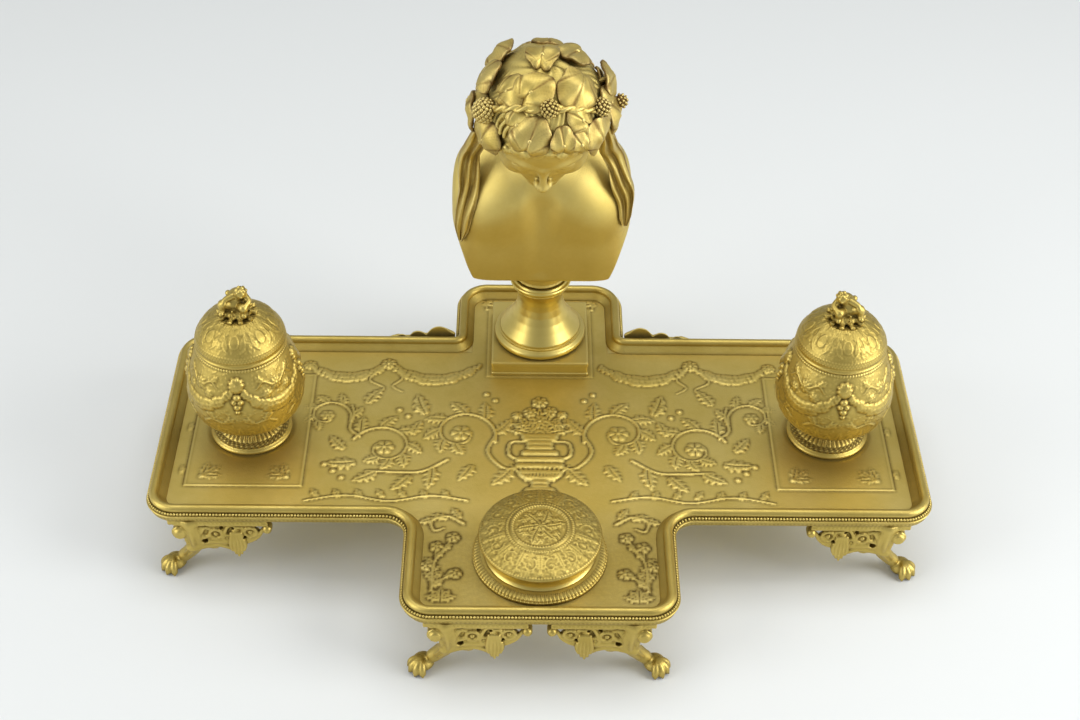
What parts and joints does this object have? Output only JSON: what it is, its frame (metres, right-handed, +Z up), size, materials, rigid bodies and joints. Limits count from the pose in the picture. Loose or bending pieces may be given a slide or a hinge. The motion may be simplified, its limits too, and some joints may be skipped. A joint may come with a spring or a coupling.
{
  "type": "desk inkstand",
  "caption": "Footed cross-shaped gilt bronze desk tray with hinged inkwells, a small lidded box and a wreathed bust on a turned socle.",
  "frame": {"origin": "middle of the footprint, on the surface that the paws stand on", "axes": "+X along the wings to the right as the user sits, +Y from the user to the back (towards the bust), +Z up"},
  "size_m": [0.5, 0.314, 0.314],
  "materials": {
    "chased_gilt": "chased gilt bronze, dull in the recesses",
    "burnished_gilt": "burnished gilt bronze, smooth and bright",
    "satin_gilt": "satin gilt bronze",
    "wreath_gilt": "chased gilt bronze with reddish patina in the hollows",
    "tray_floor_gilt": "cast low relief in dull gilt bronze",
    "brass_fixings": "plain brass",
    "steel_fixings": "plain steel, slightly dark",
    "porcelain": "glossy white glazed porcelain"
  },
  "bodies": {
    "stand": {"tray_plate": "tray_floor_gilt", "tray_rim": "burnished_gilt", "wing_foot_front_left": "chased_gilt", "wing_foot_front_right": "chased_gilt", "bay_foot_front_left": "chased_gilt", "bay_foot_front_right": "chased_gilt", "wing_foot_back_left": "chased_gilt", "wing_foot_back_right": "chased_gilt", "bay_foot_back_left": "chased_gilt", "bay_foot_back_right": "chased_gilt", "foot_screws": "brass_fixings", "crest_left": "chased_gilt", "crest_right": "chased_gilt", "crest_screws": "brass_fixings", "plinth": "satin_gilt", "socle": "burnished_gilt", "bust": "satin_gilt", "wreath_leaves": "wreath_gilt", "wreath_stem": "wreath_gilt", "wreath_berries": "wreath_gilt", "ribbon_left": "wreath_gilt", "ribbon_right": "wreath_gilt", "tie_rod": "steel_fixings", "tie_washer": "steel_fixings", "tie_nut": "steel_fixings", "inkwell_left_foot": "chased_gilt", "inkwell_left_body": "chased_gilt", "inkwell_left_liner": "porcelain", "inkwell_left_hinge_pin": "brass_fixings", "inkwell_left_stud": "steel_fixings", "inkwell_left_nut": "steel_fixings", "inkwell_right_foot": "chased_gilt", "inkwell_right_body": "chased_gilt", "inkwell_right_liner": "porcelain", "inkwell_right_hinge_pin": "brass_fixings", "inkwell_right_stud": "steel_fixings", "inkwell_right_nut": "steel_fixings", "box_base": "chased_gilt", "box_body": "burnished_gilt", "box_bolt": "steel_fixings"},
    "left_lid": {"inkwell_left_lid": "chased_gilt", "inkwell_left_finial": "chased_gilt", "inkwell_left_finial_screw": "steel_fixings"},
    "right_lid": {"inkwell_right_lid": "chased_gilt", "inkwell_right_finial": "chased_gilt", "inkwell_right_finial_screw": "steel_fixings"},
    "box_lid": {"box_lid": "chased_gilt"}
  },
  "joints": [
    {"name": "left_lid_hinge", "type": "hinge", "parent": "stand", "child": "left_lid", "pos_m": [-0.1907, 0.042, 0.1342], "axis": [-1, 0, 0], "range_deg": [0, 100]},
    {"name": "right_lid_hinge", "type": "hinge", "parent": "stand", "child": "right_lid", "pos_m": [0.1907, 0.042, 0.1342], "axis": [-1, 0, 0], "range_deg": [0, 100]},
    {"name": "box_lid_lift", "type": "slide", "parent": "stand", "child": "box_lid", "axis": [0, 0, 1], "range_m": [0, 0.04]}
  ]
}
